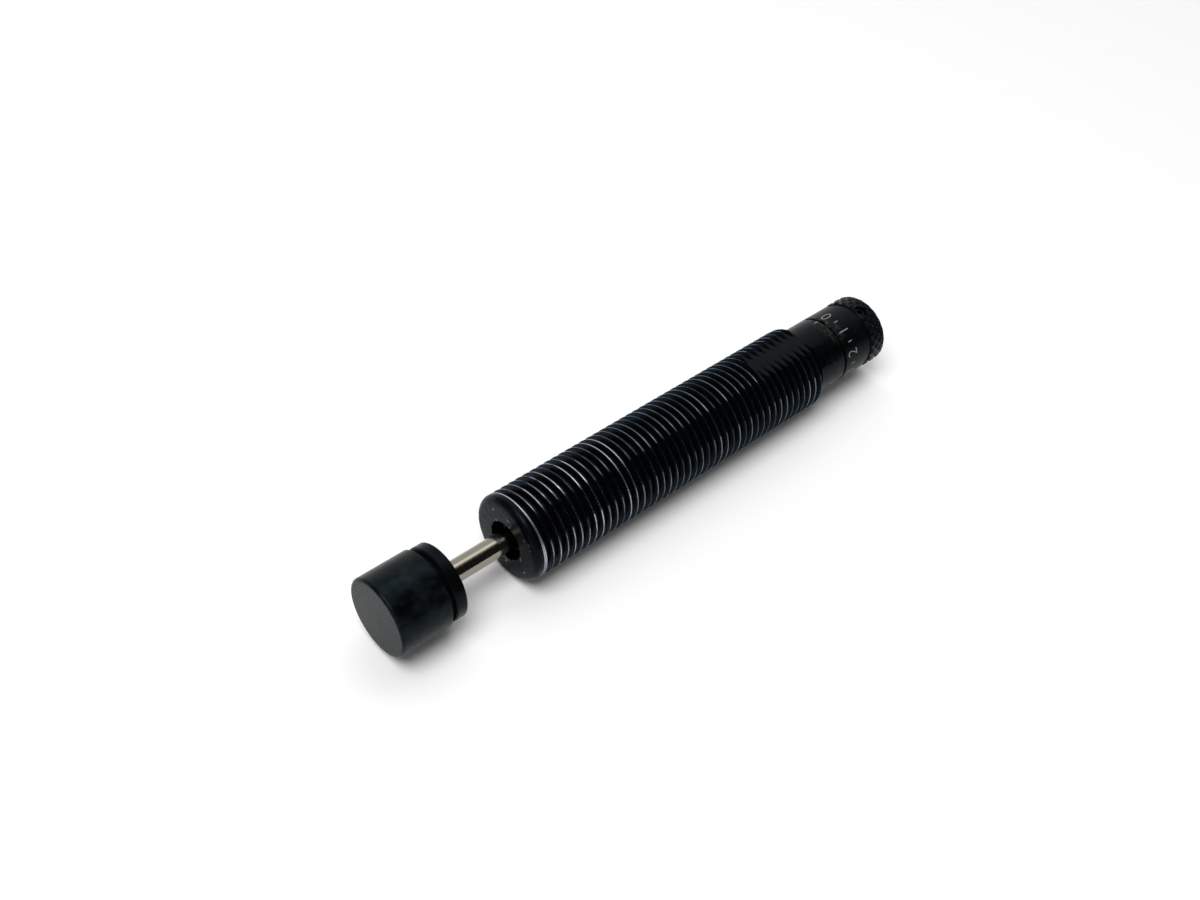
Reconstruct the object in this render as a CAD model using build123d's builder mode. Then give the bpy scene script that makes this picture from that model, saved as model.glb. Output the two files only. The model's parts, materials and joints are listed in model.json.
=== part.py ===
from build123d import *
import math
import os

os.makedirs("parts", exist_ok=True)

# Adjustable industrial shock absorber with a threaded body, in millimetres.
# The long axis is X: the striking cap is at -X and the adjuster knob at +X.
# x = 0 is the front end of the full thread. The wrench flats face +Z and -Z.
# The thread stands as plain sharp rings at its real pitch and depth, without its helix.

# Clearances, all radial
fixed_gap = 0.02
running_gap = 0.04
loose_gap = 0.15

# Flat sides that the spring's round wire and the O-rings are drawn with
round_section_sides = 6

# Threaded body
thread_diameter = 14.2875
thread_pitch = 1.4111
thread_depth = 0.764
thread_land = 0.2
thread_length = 61.9
thread_end_chamfer = 0.3
nose_round = 1.6
front_hole_diameter = 6.6
front_lip_length = 2.4
body_bore_diameter = 10.0
rear_neck_diameter = 12.05
rear_neck_length = 6.5
neck_chamfer = 0.15
flat_across = 12.7
flat_length = 12.7

# Rod with its striking button and cap
stroke = 10.2
rod_diameter = 3.45
rod_exposed_length = 11.7
rod_stub_diameter = 2.0
rod_stub_proud = 0.3
rod_end_chamfer = 0.3
button_diameter = 12.1
button_flange_length = 1.9
button_chamfer = 0.2
button_neck_diameter = 10.4
button_neck_length = 0.85
button_plug_diameter = 8.4
button_plug_length = 5.6
button_rib_diameter = 9.2
button_rib_length = 1.0
rod_socket_depth = 5.5
cap_overhang = 0.275
cap_length = 8.75
cap_front_round = 0.5
cap_rear_chamfer = 0.2

# Seals and bearing at the front of the body
wiper_length = 1.8
wiper_lip_length = 0.9
wiper_lip_diameter = 4.8
seal_pocket_diameter = 6.6
seal_washer_thickness = 0.7
seal_length = 2.5
seal_groove_depth = 1.4
seal_groove_width = 0.6
bearing_web_length = 1.0
bearing_neck_diameter = 5.8
bearing_neck_length = 6.8
bearing_flange_length = 2.6
bearing_spigot_length = 1.2
oil_slot_diameter = 1.4
oil_slot_count = 4
foam_end_gap = 0.2
ring_groove_width = 1.3
ring_groove_depth = 0.8

# Shock tube with its row of metering holes
tube_outer_diameter = 8.6
tube_bore_diameter = 7.0
refill_port_diameter = 1.0
refill_port_setback = 2.2
metering_hole_count = 5
metering_hole_largest = 0.9
metering_hole_smallest = 0.5
metering_hole_crowding = 1.5

# Piston, its check ring and its nut
piston_boss_diameter = 4.8
piston_boss_length = 1.6
rod_shoulder_depth = 0.8
piston_flange_length = 1.2
piston_groove_diameter = 5.2
piston_rear_diameter = 6.4
piston_rear_length = 1.2
piston_slot_diameter = 1.2
piston_slot_count = 4
check_ring_length = 1.1
check_ring_float = 0.35
nut_across_flats = 4.0
nut_thickness = 1.6

# Return spring behind the piston
spring_wire_diameter = 0.5
spring_mean_diameter = 5.8
spring_turns = 9

# End plug with the needle's seat, and what holds it
plug_spigot_length = 1.6
plug_pocket_diameter = 8.0
plug_pocket_length = 2.2
plug_body_length = 8.0
plug_groove_setback = 2.5
hub_diameter = 6.0
hub_groove_diameter = 5.0
seat_bore_diameter = 1.2
seat_setback = 0.4
needle_chamber_diameter = 2.4
needle_chamber_reach = 0.6
cross_hole_diameter = 1.0
snap_ring_thickness = 0.8
snap_ring_setback = 1.2
snap_ring_groove_depth = 0.35
snap_ring_inner_diameter = 8.6
snap_ring_opening = 2.6
stop_pin_diameter = 0.9
stop_pin_circle_diameter = 7.2
stop_pin_depth = 1.5

# Adjusting needle
knob_turn_degrees = 320.0
needle_pitch = 0.5
needle_stem_diameter = 3.0
needle_nose_diameter = 2.0
needle_tip_diameter = 0.5
needle_cone_length = 2.0
needle_groove_setback = 5.0
needle_groove_width = 0.9
needle_groove_depth = 0.55
needle_slot_width = 0.9
needle_slot_depth = 2.6

# Adjuster knob
knob_gap = 0.4
knob_band_diameter = 12.0
knob_band_length = 5.8
knob_neck_diameter = 11.6
knob_neck_length = 0.8
knob_grip_diameter = 12.25
knob_grip_length = 3.57
knob_chamfer = 0.15
knob_end_wall = 1.25
knob_recess_depth = 1.6
hub_end_gap = 0.2
tongue_width = 2.4
tongue_length = 2.4
stop_side_gap_degrees = 0.5

# Lock screw, turned about +X from the top of the knob
lock_screw_diameter = 2.0
lock_screw_setback = 1.1
lock_screw_angle = 9.4
lock_screw_recess = 0.5
lock_screw_point_diameter = 1.2
lock_screw_point_length = 0.85
lock_screw_socket_across = 0.9
lock_screw_socket_depth = 1.0
lock_screw_chamfer = 0.15

# Radii
thread_radius = thread_diameter / 2
thread_root_radius = thread_radius - thread_depth
cap_radius = button_diameter / 2 + cap_overhang
bore_radius = body_bore_diameter / 2
rod_radius = rod_diameter / 2
rod_stub_radius = rod_stub_diameter / 2
rod_bearing_radius = rod_radius + running_gap
bearing_radius = bore_radius - fixed_gap
bearing_ring_groove_radius = bearing_radius - ring_groove_depth
ring_centre_radius = (bore_radius + bearing_ring_groove_radius) / 2
ring_section_radius = (bore_radius - bearing_ring_groove_radius) / 2 - fixed_gap
tube_outer_radius = tube_outer_diameter / 2
tube_bore_radius = tube_bore_diameter / 2
spigot_radius = tube_bore_radius - fixed_gap
seal_pocket_radius = seal_pocket_diameter / 2
hub_radius = hub_diameter / 2
hub_bore_radius = hub_radius + running_gap
stem_radius = needle_stem_diameter / 2
stem_bore_radius = stem_radius + running_gap
stop_pin_radius = stop_pin_diameter / 2
stop_pin_circle_radius = stop_pin_circle_diameter / 2
snap_groove_radius = bore_radius + snap_ring_groove_depth

# Places along X, from the front to the rear
front_face_x = -nose_round
button_rear_x = front_face_x - rod_exposed_length
button_flange_x = button_rear_x - button_flange_length
cap_rear_x = button_flange_x - button_neck_length
cap_front_x = cap_rear_x - cap_length
button_front_x = cap_rear_x - button_plug_length
rod_front_x = button_rear_x - rod_socket_depth
wiper_x = front_face_x + front_lip_length
bearing_x = wiper_x + wiper_length
seal_x = bearing_x + seal_washer_thickness
seal_rear_x = seal_x + seal_length
bearing_neck_x = seal_rear_x + bearing_web_length
bearing_flange_x = bearing_neck_x + bearing_neck_length
tube_front_x = bearing_flange_x + bearing_flange_length
piston_x = tube_front_x + bearing_spigot_length
rod_shoulder_x = piston_x + rod_shoulder_depth
piston_flange_x = piston_x + piston_boss_length
piston_groove_x = piston_flange_x + piston_flange_length
piston_rear_flange_x = piston_groove_x + check_ring_length + check_ring_float
piston_rear_x = piston_rear_flange_x + piston_rear_length
nut_rear_x = piston_rear_x + nut_thickness
body_rear_x = thread_length + rear_neck_length
snap_ring_x = body_rear_x - snap_ring_setback - snap_ring_thickness
plug_body_x = snap_ring_x - plug_body_length
tube_rear_x = plug_body_x - plug_pocket_length
plug_front_x = tube_rear_x - plug_spigot_length
seat_x = tube_rear_x + seat_setback
stem_bore_x = plug_body_x + needle_chamber_reach
knob_front_x = body_rear_x + knob_gap
knob_band_rear_x = knob_front_x + knob_band_length
knob_grip_x = knob_band_rear_x + knob_neck_length
knob_rear_x = knob_grip_x + knob_grip_length
knob_wall_x = knob_rear_x - knob_end_wall
knob_recess_x = knob_front_x + knob_recess_depth
hub_rear_x = knob_wall_x - hub_end_gap
lock_screw_x = knob_grip_x + lock_screw_setback

# The needle rests fully open. Screwed in by its travel, it all but fills the seat.
needle_travel = needle_pitch * knob_turn_degrees / 360
cone_length_per_diameter = needle_cone_length / (needle_nose_diameter - needle_tip_diameter)
cone_in_seat = cone_length_per_diameter * (seat_bore_diameter - 2 * running_gap - needle_tip_diameter)
needle_tip_x = seat_x - cone_in_seat + needle_travel
needle_nose_x = needle_tip_x + needle_cone_length
needle_stem_x = stem_bore_x + needle_travel + loose_gap
needle_groove_x = plug_body_x + needle_groove_setback
needle_rear_x = hub_rear_x - hub_end_gap


# Threaded body, with the lip that holds the seals in at the front
with BuildPart() as threaded_body:
    ring_count = int((thread_length - thread_end_chamfer - 2 * thread_land) / thread_pitch)
    ring_profile = [(thread_land, thread_radius)]
    for ring_number in range(ring_count):
        crest_x = thread_land + ring_number * thread_pitch
        ring_profile.append((crest_x + thread_pitch / 2, thread_root_radius))
        ring_profile.append((crest_x + thread_pitch, thread_radius))
    with BuildSketch(Plane.XZ):
        with BuildLine():
            Polyline(
                (front_face_x, front_hole_diameter / 2),
                (front_face_x, thread_radius),
                *ring_profile,
                (thread_length - thread_end_chamfer, thread_radius),
                (thread_length, thread_radius - thread_end_chamfer),
                (thread_length, rear_neck_diameter / 2),
                (body_rear_x - neck_chamfer, rear_neck_diameter / 2),
                (body_rear_x, rear_neck_diameter / 2 - neck_chamfer),
                (body_rear_x, bore_radius),
                (snap_ring_x + snap_ring_thickness, bore_radius),
                (snap_ring_x + snap_ring_thickness, snap_groove_radius),
                (snap_ring_x, snap_groove_radius),
                (snap_ring_x, bore_radius),
                (wiper_x, bore_radius),
                (wiper_x, front_hole_diameter / 2),
                close=True,
            )
        make_face()
    revolve(axis=Axis.X)
    front_rims = threaded_body.edges().filter_by(GeomType.CIRCLE).group_by(Axis.X)[0]
    fillet(front_rims.sort_by(SortBy.RADIUS)[-1], radius=nose_round)
    with BuildSketch(Plane.YZ.offset(thread_length - flat_length)):
        with Locations((0, flat_across), (0, -flat_across)):
            Rectangle(thread_diameter, flat_across)
    extrude(amount=flat_length, mode=Mode.SUBTRACT)
threaded_body.part.label = "threaded_body"
export_step(threaded_body.part, "parts/threaded_body.step")


# Piston rod: a plain ground bar with a stub that carries the piston
with BuildPart() as piston_rod:
    with BuildSketch(Plane.YZ.offset(rod_front_x)):
        Circle(rod_radius)
    extrude(amount=rod_shoulder_x - rod_front_x)
    with BuildSketch(Plane.YZ.offset(rod_shoulder_x)):
        Circle(rod_stub_radius)
    extrude(amount=nut_rear_x + rod_stub_proud - rod_shoulder_x)
    chamfer(piston_rod.faces().sort_by(Axis.X)[0].edges(), length=rod_end_chamfer)
piston_rod.part.label = "piston_rod"
export_step(piston_rod.part, "parts/piston_rod.step")


# Striking button: a flange behind the cap and a ribbed plug inside it
with BuildPart() as strike_button:
    with BuildSketch(Plane.XZ):
        with BuildLine():
            Polyline(
                (button_front_x, 0),
                (button_front_x, button_plug_diameter / 2),
                (button_front_x + button_rib_length, button_rib_diameter / 2),
                (button_front_x + 2 * button_rib_length, button_rib_diameter / 2),
                (button_front_x + 2 * button_rib_length, button_plug_diameter / 2),
                (cap_rear_x, button_plug_diameter / 2),
                (cap_rear_x, button_neck_diameter / 2),
                (button_flange_x, button_neck_diameter / 2),
                (button_flange_x, button_diameter / 2 - button_chamfer),
                (button_flange_x + button_chamfer, button_diameter / 2),
                (button_rear_x - button_chamfer, button_diameter / 2),
                (button_rear_x, button_diameter / 2 - button_chamfer),
                (button_rear_x, rod_radius + fixed_gap),
                (rod_front_x, rod_radius + fixed_gap),
                (rod_front_x, 0),
                close=True,
            )
        make_face()
    revolve(axis=Axis.X)
strike_button.part.label = "strike_button"
export_step(strike_button.part, "parts/strike_button.step")


# Bumper cap: a moulded cup that snaps over the button's rib
with BuildPart() as bumper_cap:
    with BuildSketch(Plane.XZ):
        with BuildLine():
            Polyline(
                (cap_front_x, 0),
                (cap_front_x, cap_radius),
                (cap_rear_x, cap_radius),
                (cap_rear_x, button_plug_diameter / 2 + fixed_gap),
                (button_front_x + 2 * button_rib_length + fixed_gap, button_plug_diameter / 2 + fixed_gap),
                (button_front_x + 2 * button_rib_length + fixed_gap, button_rib_diameter / 2 + fixed_gap),
                (button_front_x, button_rib_diameter / 2 + fixed_gap),
                (button_front_x, 0),
                close=True,
            )
        make_face()
    revolve(axis=Axis.X)
    cap_rims = bumper_cap.edges().filter_by(GeomType.CIRCLE)
    fillet(cap_rims.group_by(Axis.X)[0], radius=cap_front_round)
    cap_rear_rims = bumper_cap.edges().filter_by(GeomType.CIRCLE).group_by(Axis.X)[-1]
    chamfer(cap_rear_rims.sort_by(SortBy.RADIUS)[-1], length=cap_rear_chamfer)
bumper_cap.part.label = "bumper_cap"
export_step(bumper_cap.part, "parts/bumper_cap.step")


# Rod wiper: a rubber ring whose lip reaches forward into the front hole
with BuildPart() as rod_wiper:
    with BuildSketch(Plane.XZ):
        with BuildLine():
            Polyline(
                (wiper_x - wiper_lip_length, rod_bearing_radius),
                (wiper_x - wiper_lip_length, wiper_lip_diameter / 2),
                (wiper_x, front_hole_diameter / 2 - loose_gap),
                (wiper_x, bearing_radius),
                (bearing_x, bearing_radius),
                (bearing_x, rod_radius + loose_gap),
                (wiper_x, rod_radius + loose_gap),
                close=True,
            )
        make_face()
    revolve(axis=Axis.X)
rod_wiper.part.label = "rod_wiper"
export_step(rod_wiper.part, "parts/rod_wiper.step")


# Rod bearing: a bronze guide with the seal's pocket in front, a slim neck
# that the foam sits round, and a slotted flange that carries the shock tube
with BuildPart() as rod_bearing:
    bearing_groove_x = (bearing_x + bearing_neck_x - ring_groove_width) / 2
    with BuildSketch(Plane.XZ):
        with BuildLine():
            Polyline(
                (bearing_x, seal_pocket_radius),
                (bearing_x, bearing_radius),
                (bearing_groove_x, bearing_radius),
                (bearing_groove_x, bearing_ring_groove_radius),
                (bearing_groove_x + ring_groove_width, bearing_ring_groove_radius),
                (bearing_groove_x + ring_groove_width, bearing_radius),
                (bearing_neck_x, bearing_radius),
                (bearing_neck_x, bearing_neck_diameter / 2),
                (bearing_flange_x, bearing_neck_diameter / 2),
                (bearing_flange_x, bearing_radius),
                (tube_front_x, bearing_radius),
                (tube_front_x, spigot_radius),
                (piston_x, spigot_radius),
                (piston_x, rod_bearing_radius),
                (seal_rear_x, rod_bearing_radius),
                (seal_rear_x, seal_pocket_radius),
                close=True,
            )
        make_face()
    revolve(axis=Axis.X)
    with BuildSketch(Plane.YZ.offset(bearing_flange_x)):
        with PolarLocations(bearing_radius, oil_slot_count):
            Circle(oil_slot_diameter / 2)
    extrude(amount=bearing_flange_length, mode=Mode.SUBTRACT)
rod_bearing.part.label = "rod_bearing"
export_step(rod_bearing.part, "parts/rod_bearing.step")


# Seal washer: backs the rod seal against the wiper
with BuildPart() as seal_washer:
    with BuildSketch(Plane.YZ.offset(bearing_x)):
        Circle(seal_pocket_radius - fixed_gap)
        Circle(rod_bearing_radius, mode=Mode.SUBTRACT)
    extrude(amount=seal_washer_thickness)
seal_washer.part.label = "seal_washer"
export_step(seal_washer.part, "parts/seal_washer.step")


# Rod seal: a U-shaped ring, open towards the oil
with BuildPart() as rod_seal:
    seal_mean_radius = (seal_pocket_radius + rod_radius) / 2
    with BuildSketch(Plane.YZ.offset(seal_x)):
        Circle(seal_pocket_radius - fixed_gap)
        Circle(rod_bearing_radius, mode=Mode.SUBTRACT)
    extrude(amount=seal_length)
    with BuildSketch(Plane.YZ.offset(seal_rear_x)):
        Circle(seal_mean_radius + seal_groove_width / 2)
        Circle(seal_mean_radius - seal_groove_width / 2, mode=Mode.SUBTRACT)
    extrude(amount=-seal_groove_depth, mode=Mode.SUBTRACT)
rod_seal.part.label = "rod_seal"
export_step(rod_seal.part, "parts/rod_seal.step")


# O-ring in the bearing's groove
with BuildPart() as bearing_o_ring:
    with BuildSketch(Plane.XZ):
        with Locations((bearing_groove_x + ring_groove_width / 2, ring_centre_radius)):
            RegularPolygon(ring_section_radius, round_section_sides, major_radius=False)
    revolve(axis=Axis.X)
bearing_o_ring.part.label = "bearing_o_ring"
export_step(bearing_o_ring.part, "parts/bearing_o_ring.step")


# Accumulator foam: a closed-cell sleeve that gives way to the oil that the rod displaces
with BuildPart() as accumulator_foam:
    with BuildSketch(Plane.YZ.offset(bearing_neck_x + foam_end_gap)):
        Circle(bore_radius - loose_gap)
        Circle(bearing_neck_diameter / 2 + fixed_gap, mode=Mode.SUBTRACT)
    extrude(amount=bearing_neck_length - 2 * foam_end_gap)
accumulator_foam.part.label = "accumulator_foam"
export_step(accumulator_foam.part, "parts/accumulator_foam.step")


# Shock tube: the piston closes its metering holes one after another,
# and they stand closer together and get smaller towards the stroke's end
with BuildPart() as shock_tube:
    with BuildSketch(Plane.YZ.offset(tube_front_x)):
        Circle(tube_outer_radius)
        Circle(tube_bore_radius, mode=Mode.SUBTRACT)
    extrude(amount=tube_rear_x - tube_front_x)
    with BuildSketch(Plane.XY):
        with Locations((tube_front_x + refill_port_setback, 0)):
            Circle(refill_port_diameter / 2)
    extrude(amount=tube_outer_radius, both=True, mode=Mode.SUBTRACT)
    for hole_number in range(metering_hole_count):
        share = hole_number / (metering_hole_count - 1)
        stroke_share = 1 - (1 - share) ** metering_hole_crowding
        hole_diameter = metering_hole_largest - share * (metering_hole_largest - metering_hole_smallest)
        with BuildSketch(Plane.XY):
            with Locations((piston_rear_x + stroke_share * stroke, 0)):
                Circle(hole_diameter / 2)
        extrude(amount=tube_outer_radius, mode=Mode.SUBTRACT)
shock_tube.part.label = "shock_tube"
export_step(shock_tube.part, "parts/shock_tube.step")


# Piston head: the boss rests on the bearing when the rod is out,
# and oil passes the rear flange through its slots
with BuildPart() as piston_head:
    with BuildSketch(Plane.XZ):
        with BuildLine():
            Polyline(
                (piston_x, rod_radius + fixed_gap),
                (piston_x, piston_boss_diameter / 2),
                (piston_flange_x, piston_boss_diameter / 2),
                (piston_flange_x, tube_bore_radius - running_gap),
                (piston_groove_x, tube_bore_radius - running_gap),
                (piston_groove_x, piston_groove_diameter / 2),
                (piston_rear_flange_x, piston_groove_diameter / 2),
                (piston_rear_flange_x, piston_rear_diameter / 2),
                (piston_rear_x, piston_rear_diameter / 2),
                (piston_rear_x, rod_stub_radius + fixed_gap),
                (rod_shoulder_x, rod_stub_radius + fixed_gap),
                (rod_shoulder_x, rod_radius + fixed_gap),
                close=True,
            )
        make_face()
    revolve(axis=Axis.X)
    with BuildSketch(Plane.YZ.offset(piston_rear_flange_x)):
        with PolarLocations(piston_rear_diameter / 2, piston_slot_count):
            Circle(piston_slot_diameter / 2)
    extrude(amount=piston_rear_length, mode=Mode.SUBTRACT)
piston_head.part.label = "piston_head"
export_step(piston_head.part, "parts/piston_head.step")


# Check ring: floats in the piston's groove, shown as the return stroke leaves it
with BuildPart() as check_ring:
    with BuildSketch(Plane.YZ.offset(piston_rear_flange_x - check_ring_length)):
        Circle(tube_bore_radius - running_gap)
        Circle(piston_groove_diameter / 2 + loose_gap, mode=Mode.SUBTRACT)
    extrude(amount=check_ring_length)
check_ring.part.label = "check_ring"
export_step(check_ring.part, "parts/check_ring.step")


# Piston nut on the rod's stub
with BuildPart() as piston_nut:
    with BuildSketch(Plane.YZ.offset(piston_rear_x)):
        RegularPolygon(nut_across_flats / 2, 6, major_radius=False)
        Circle(rod_stub_radius + fixed_gap, mode=Mode.SUBTRACT)
    extrude(amount=nut_thickness)
piston_nut.part.label = "piston_nut"
export_step(piston_nut.part, "parts/piston_nut.step")


# Return spring: round wire with ground ends, between the piston and the end plug
with BuildPart() as return_spring:
    spring_length = plug_front_x - piston_rear_x
    spring_pitch = spring_length / spring_turns
    with BuildLine() as spring_line:
        Helix(
            spring_pitch,
            spring_length + 2 * spring_wire_diameter,
            spring_mean_diameter / 2,
            center=(piston_rear_x - spring_wire_diameter, 0, 0),
            direction=(1, 0, 0),
        )
    with BuildSketch(Plane(origin=spring_line.line @ 0, z_dir=spring_line.line % 0)):
        RegularPolygon(spring_wire_diameter / 2, round_section_sides)
    sweep(path=spring_line.line, is_frenet=True)
    split(bisect_by=Plane.YZ.offset(piston_rear_x), keep=Keep.TOP)
    split(bisect_by=Plane.YZ.offset(plug_front_x), keep=Keep.BOTTOM)
return_spring.part.label = "return_spring"
export_step(return_spring.part, "parts/return_spring.step")


# End plug: closes the oil space, seats the needle and carries the knob on its hub
with BuildPart() as end_plug:
    plug_groove_x = plug_body_x + plug_groove_setback
    hub_groove_x = lock_screw_x - lock_screw_point_diameter / 2 - running_gap
    hub_groove_rear_x = lock_screw_x + lock_screw_point_diameter / 2 + running_gap
    with BuildSketch(Plane.XZ):
        with BuildLine():
            Polyline(
                (plug_front_x, seat_bore_diameter / 2),
                (plug_front_x, spigot_radius),
                (tube_rear_x, spigot_radius),
                (tube_rear_x, plug_pocket_diameter / 2),
                (plug_body_x, plug_pocket_diameter / 2),
                (plug_body_x, bearing_radius),
                (plug_groove_x, bearing_radius),
                (plug_groove_x, bearing_ring_groove_radius),
                (plug_groove_x + ring_groove_width, bearing_ring_groove_radius),
                (plug_groove_x + ring_groove_width, bearing_radius),
                (snap_ring_x, bearing_radius),
                (snap_ring_x, hub_radius),
                (hub_groove_x, hub_radius),
                (hub_groove_x, hub_groove_diameter / 2),
                (hub_groove_rear_x, hub_groove_diameter / 2),
                (hub_groove_rear_x, hub_radius),
                (hub_rear_x, hub_radius),
                (hub_rear_x, stem_bore_radius),
                (stem_bore_x, stem_bore_radius),
                (stem_bore_x, needle_chamber_diameter / 2),
                (seat_x, needle_chamber_diameter / 2),
                (seat_x, seat_bore_diameter / 2),
                close=True,
            )
        make_face()
    revolve(axis=Axis.X)
    with BuildSketch(Plane.XY):
        with Locations(((tube_rear_x + plug_body_x) / 2, 0)):
            Circle(cross_hole_diameter / 2)
    extrude(amount=bore_radius, both=True, mode=Mode.SUBTRACT)
    with BuildSketch(Plane.YZ.offset(snap_ring_x)):
        with Locations((0, stop_pin_circle_radius)):
            Circle(stop_pin_radius + fixed_gap)
    extrude(amount=-stop_pin_depth, mode=Mode.SUBTRACT)
end_plug.part.label = "end_plug"
export_step(end_plug.part, "parts/end_plug.step")


# O-ring in the end plug's groove
with BuildPart() as end_plug_o_ring:
    with BuildSketch(Plane.XZ):
        with Locations((plug_groove_x + ring_groove_width / 2, ring_centre_radius)):
            RegularPolygon(ring_section_radius, round_section_sides, major_radius=False)
    revolve(axis=Axis.X)
end_plug_o_ring.part.label = "end_plug_o_ring"
export_step(end_plug_o_ring.part, "parts/end_plug_o_ring.step")


# Snap ring: sprung into the body's groove behind the end plug
with BuildPart() as snap_ring:
    with BuildSketch(Plane.YZ.offset(snap_ring_x)):
        Circle(snap_groove_radius - fixed_gap)
        Circle(snap_ring_inner_diameter / 2, mode=Mode.SUBTRACT)
        with Locations((0, -bore_radius)):
            Rectangle(snap_ring_opening, bore_radius, mode=Mode.SUBTRACT)
    extrude(amount=snap_ring_thickness)
snap_ring.part.label = "snap_ring"
export_step(snap_ring.part, "parts/snap_ring.step")


# Stop pin: stands out of the end plug into the knob's recess and ends the knob's turn
with BuildPart() as stop_pin:
    with BuildSketch(Plane.YZ.offset(snap_ring_x - stop_pin_depth)):
        with Locations((0, stop_pin_circle_radius)):
            Circle(stop_pin_radius)
    extrude(amount=knob_recess_x - loose_gap - snap_ring_x + stop_pin_depth)
stop_pin.part.label = "stop_pin"
export_step(stop_pin.part, "parts/stop_pin.step")


# Adjusting needle: a cone that throttles the seat, a threaded stem with its
# own O-ring groove, and a slot at the rear for the knob's tongue
with BuildPart() as adjusting_needle:
    with BuildSketch(Plane.XZ):
        with BuildLine():
            Polyline(
                (needle_tip_x, 0),
                (needle_tip_x, needle_tip_diameter / 2),
                (needle_nose_x, needle_nose_diameter / 2),
                (needle_stem_x, needle_nose_diameter / 2),
                (needle_stem_x, stem_radius),
                (needle_groove_x, stem_radius),
                (needle_groove_x, stem_radius - needle_groove_depth),
                (needle_groove_x + needle_groove_width, stem_radius - needle_groove_depth),
                (needle_groove_x + needle_groove_width, stem_radius),
                (needle_rear_x, stem_radius),
                (needle_rear_x, 0),
                close=True,
            )
        make_face()
    revolve(axis=Axis.X)
    with BuildSketch(Plane.YZ.offset(needle_rear_x)):
        Rectangle(needle_slot_width, needle_stem_diameter)
    extrude(amount=-needle_slot_depth, mode=Mode.SUBTRACT)
adjusting_needle.part.label = "adjusting_needle"
export_step(adjusting_needle.part, "parts/adjusting_needle.step")


# O-ring on the needle's stem
with BuildPart() as needle_o_ring:
    needle_ring_inner_radius = stem_radius - needle_groove_depth + fixed_gap
    needle_ring_outer_radius = stem_bore_radius - fixed_gap
    needle_ring_section_radius = (needle_ring_outer_radius - needle_ring_inner_radius) / 2
    needle_ring_centre_radius = (needle_ring_outer_radius + needle_ring_inner_radius) / 2
    with BuildSketch(Plane.XZ):
        with Locations((needle_groove_x + needle_groove_width / 2, needle_ring_centre_radius)):
            RegularPolygon(needle_ring_section_radius, round_section_sides, major_radius=False)
    revolve(axis=Axis.X)
needle_o_ring.part.label = "needle_o_ring"
export_step(needle_o_ring.part, "parts/needle_o_ring.step")


# Adjuster knob: a band for the scale, a slim neck and the grip, with the
# stop recess in front and the tongue that drives the needle inside
with BuildPart() as adjuster_knob:
    band_radius = knob_band_diameter / 2
    grip_radius = knob_grip_diameter / 2
    with BuildSketch(Plane.XZ):
        with BuildLine():
            Polyline(
                (knob_front_x, hub_bore_radius),
                (knob_front_x, band_radius - knob_chamfer),
                (knob_front_x + knob_chamfer, band_radius),
                (knob_band_rear_x - knob_chamfer, band_radius),
                (knob_band_rear_x, band_radius - knob_chamfer),
                (knob_band_rear_x, knob_neck_diameter / 2),
                (knob_grip_x, knob_neck_diameter / 2),
                (knob_grip_x, grip_radius - knob_chamfer),
                (knob_grip_x + knob_chamfer, grip_radius),
                (knob_rear_x - knob_chamfer, grip_radius),
                (knob_rear_x, grip_radius - knob_chamfer),
                (knob_rear_x, 0),
                (knob_wall_x, 0),
                (knob_wall_x, hub_bore_radius),
                close=True,
            )
        make_face()
    revolve(axis=Axis.X)
    pin_half_angle = math.degrees(math.asin(stop_pin_radius / stop_pin_circle_radius))
    lug_half_angle = (360 - knob_turn_degrees) / 2 - pin_half_angle - stop_side_gap_degrees
    lug_centre_angle = 90 - (360 - knob_turn_degrees) / 2
    lug_low = math.radians(lug_centre_angle - lug_half_angle)
    lug_high = math.radians(lug_centre_angle + lug_half_angle)
    with BuildSketch(Plane.YZ.offset(knob_front_x)):
        Circle(stop_pin_circle_radius + stop_pin_radius + loose_gap)
        with BuildLine():
            Polyline(
                (0, 0),
                (band_radius * math.cos(lug_low), band_radius * math.sin(lug_low)),
                (band_radius * math.cos(lug_high), band_radius * math.sin(lug_high)),
                close=True,
            )
        make_face(mode=Mode.SUBTRACT)
    extrude(amount=knob_recess_depth, mode=Mode.SUBTRACT)
    with BuildSketch(Plane.YZ.offset(knob_wall_x)):
        Rectangle(needle_slot_width - 2 * running_gap, tongue_width)
    extrude(amount=-tongue_length)
    screw_turn = math.radians(lock_screw_angle)
    screw_plane = Plane(
        origin=(lock_screw_x, 0, 0),
        x_dir=(1, 0, 0),
        z_dir=(0, -math.sin(screw_turn), math.cos(screw_turn)),
    )
    with BuildSketch(screw_plane.offset(hub_radius - lock_screw_diameter / 2)):
        Circle(lock_screw_diameter / 2 + fixed_gap)
    extrude(amount=grip_radius, mode=Mode.SUBTRACT)
adjuster_knob.part.label = "adjuster_knob"
export_step(adjuster_knob.part, "parts/adjuster_knob.step")


# Lock screw: its point stands in the hub's groove, so it also holds the knob on
with BuildPart() as lock_screw:
    screw_point_z = hub_groove_diameter / 2 + fixed_gap
    screw_body_z = screw_point_z + lock_screw_point_length
    screw_top_z = grip_radius - lock_screw_recess
    with BuildSketch(screw_plane.offset(screw_point_z)):
        Circle(lock_screw_point_diameter / 2)
    extrude(amount=lock_screw_point_length)
    with BuildSketch(screw_plane.offset(screw_body_z)):
        Circle(lock_screw_diameter / 2)
    extrude(amount=screw_top_z - screw_body_z)
    screw_top = lock_screw.faces().filter_by(GeomType.PLANE).sort_by(Axis.Z)[-1]
    chamfer(screw_top.edges(), length=lock_screw_chamfer)
    with BuildSketch(screw_plane.offset(screw_top_z)):
        RegularPolygon(lock_screw_socket_across / 2, 6, major_radius=False)
    extrude(amount=-lock_screw_socket_depth, mode=Mode.SUBTRACT)
lock_screw.part.label = "lock_screw"
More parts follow.
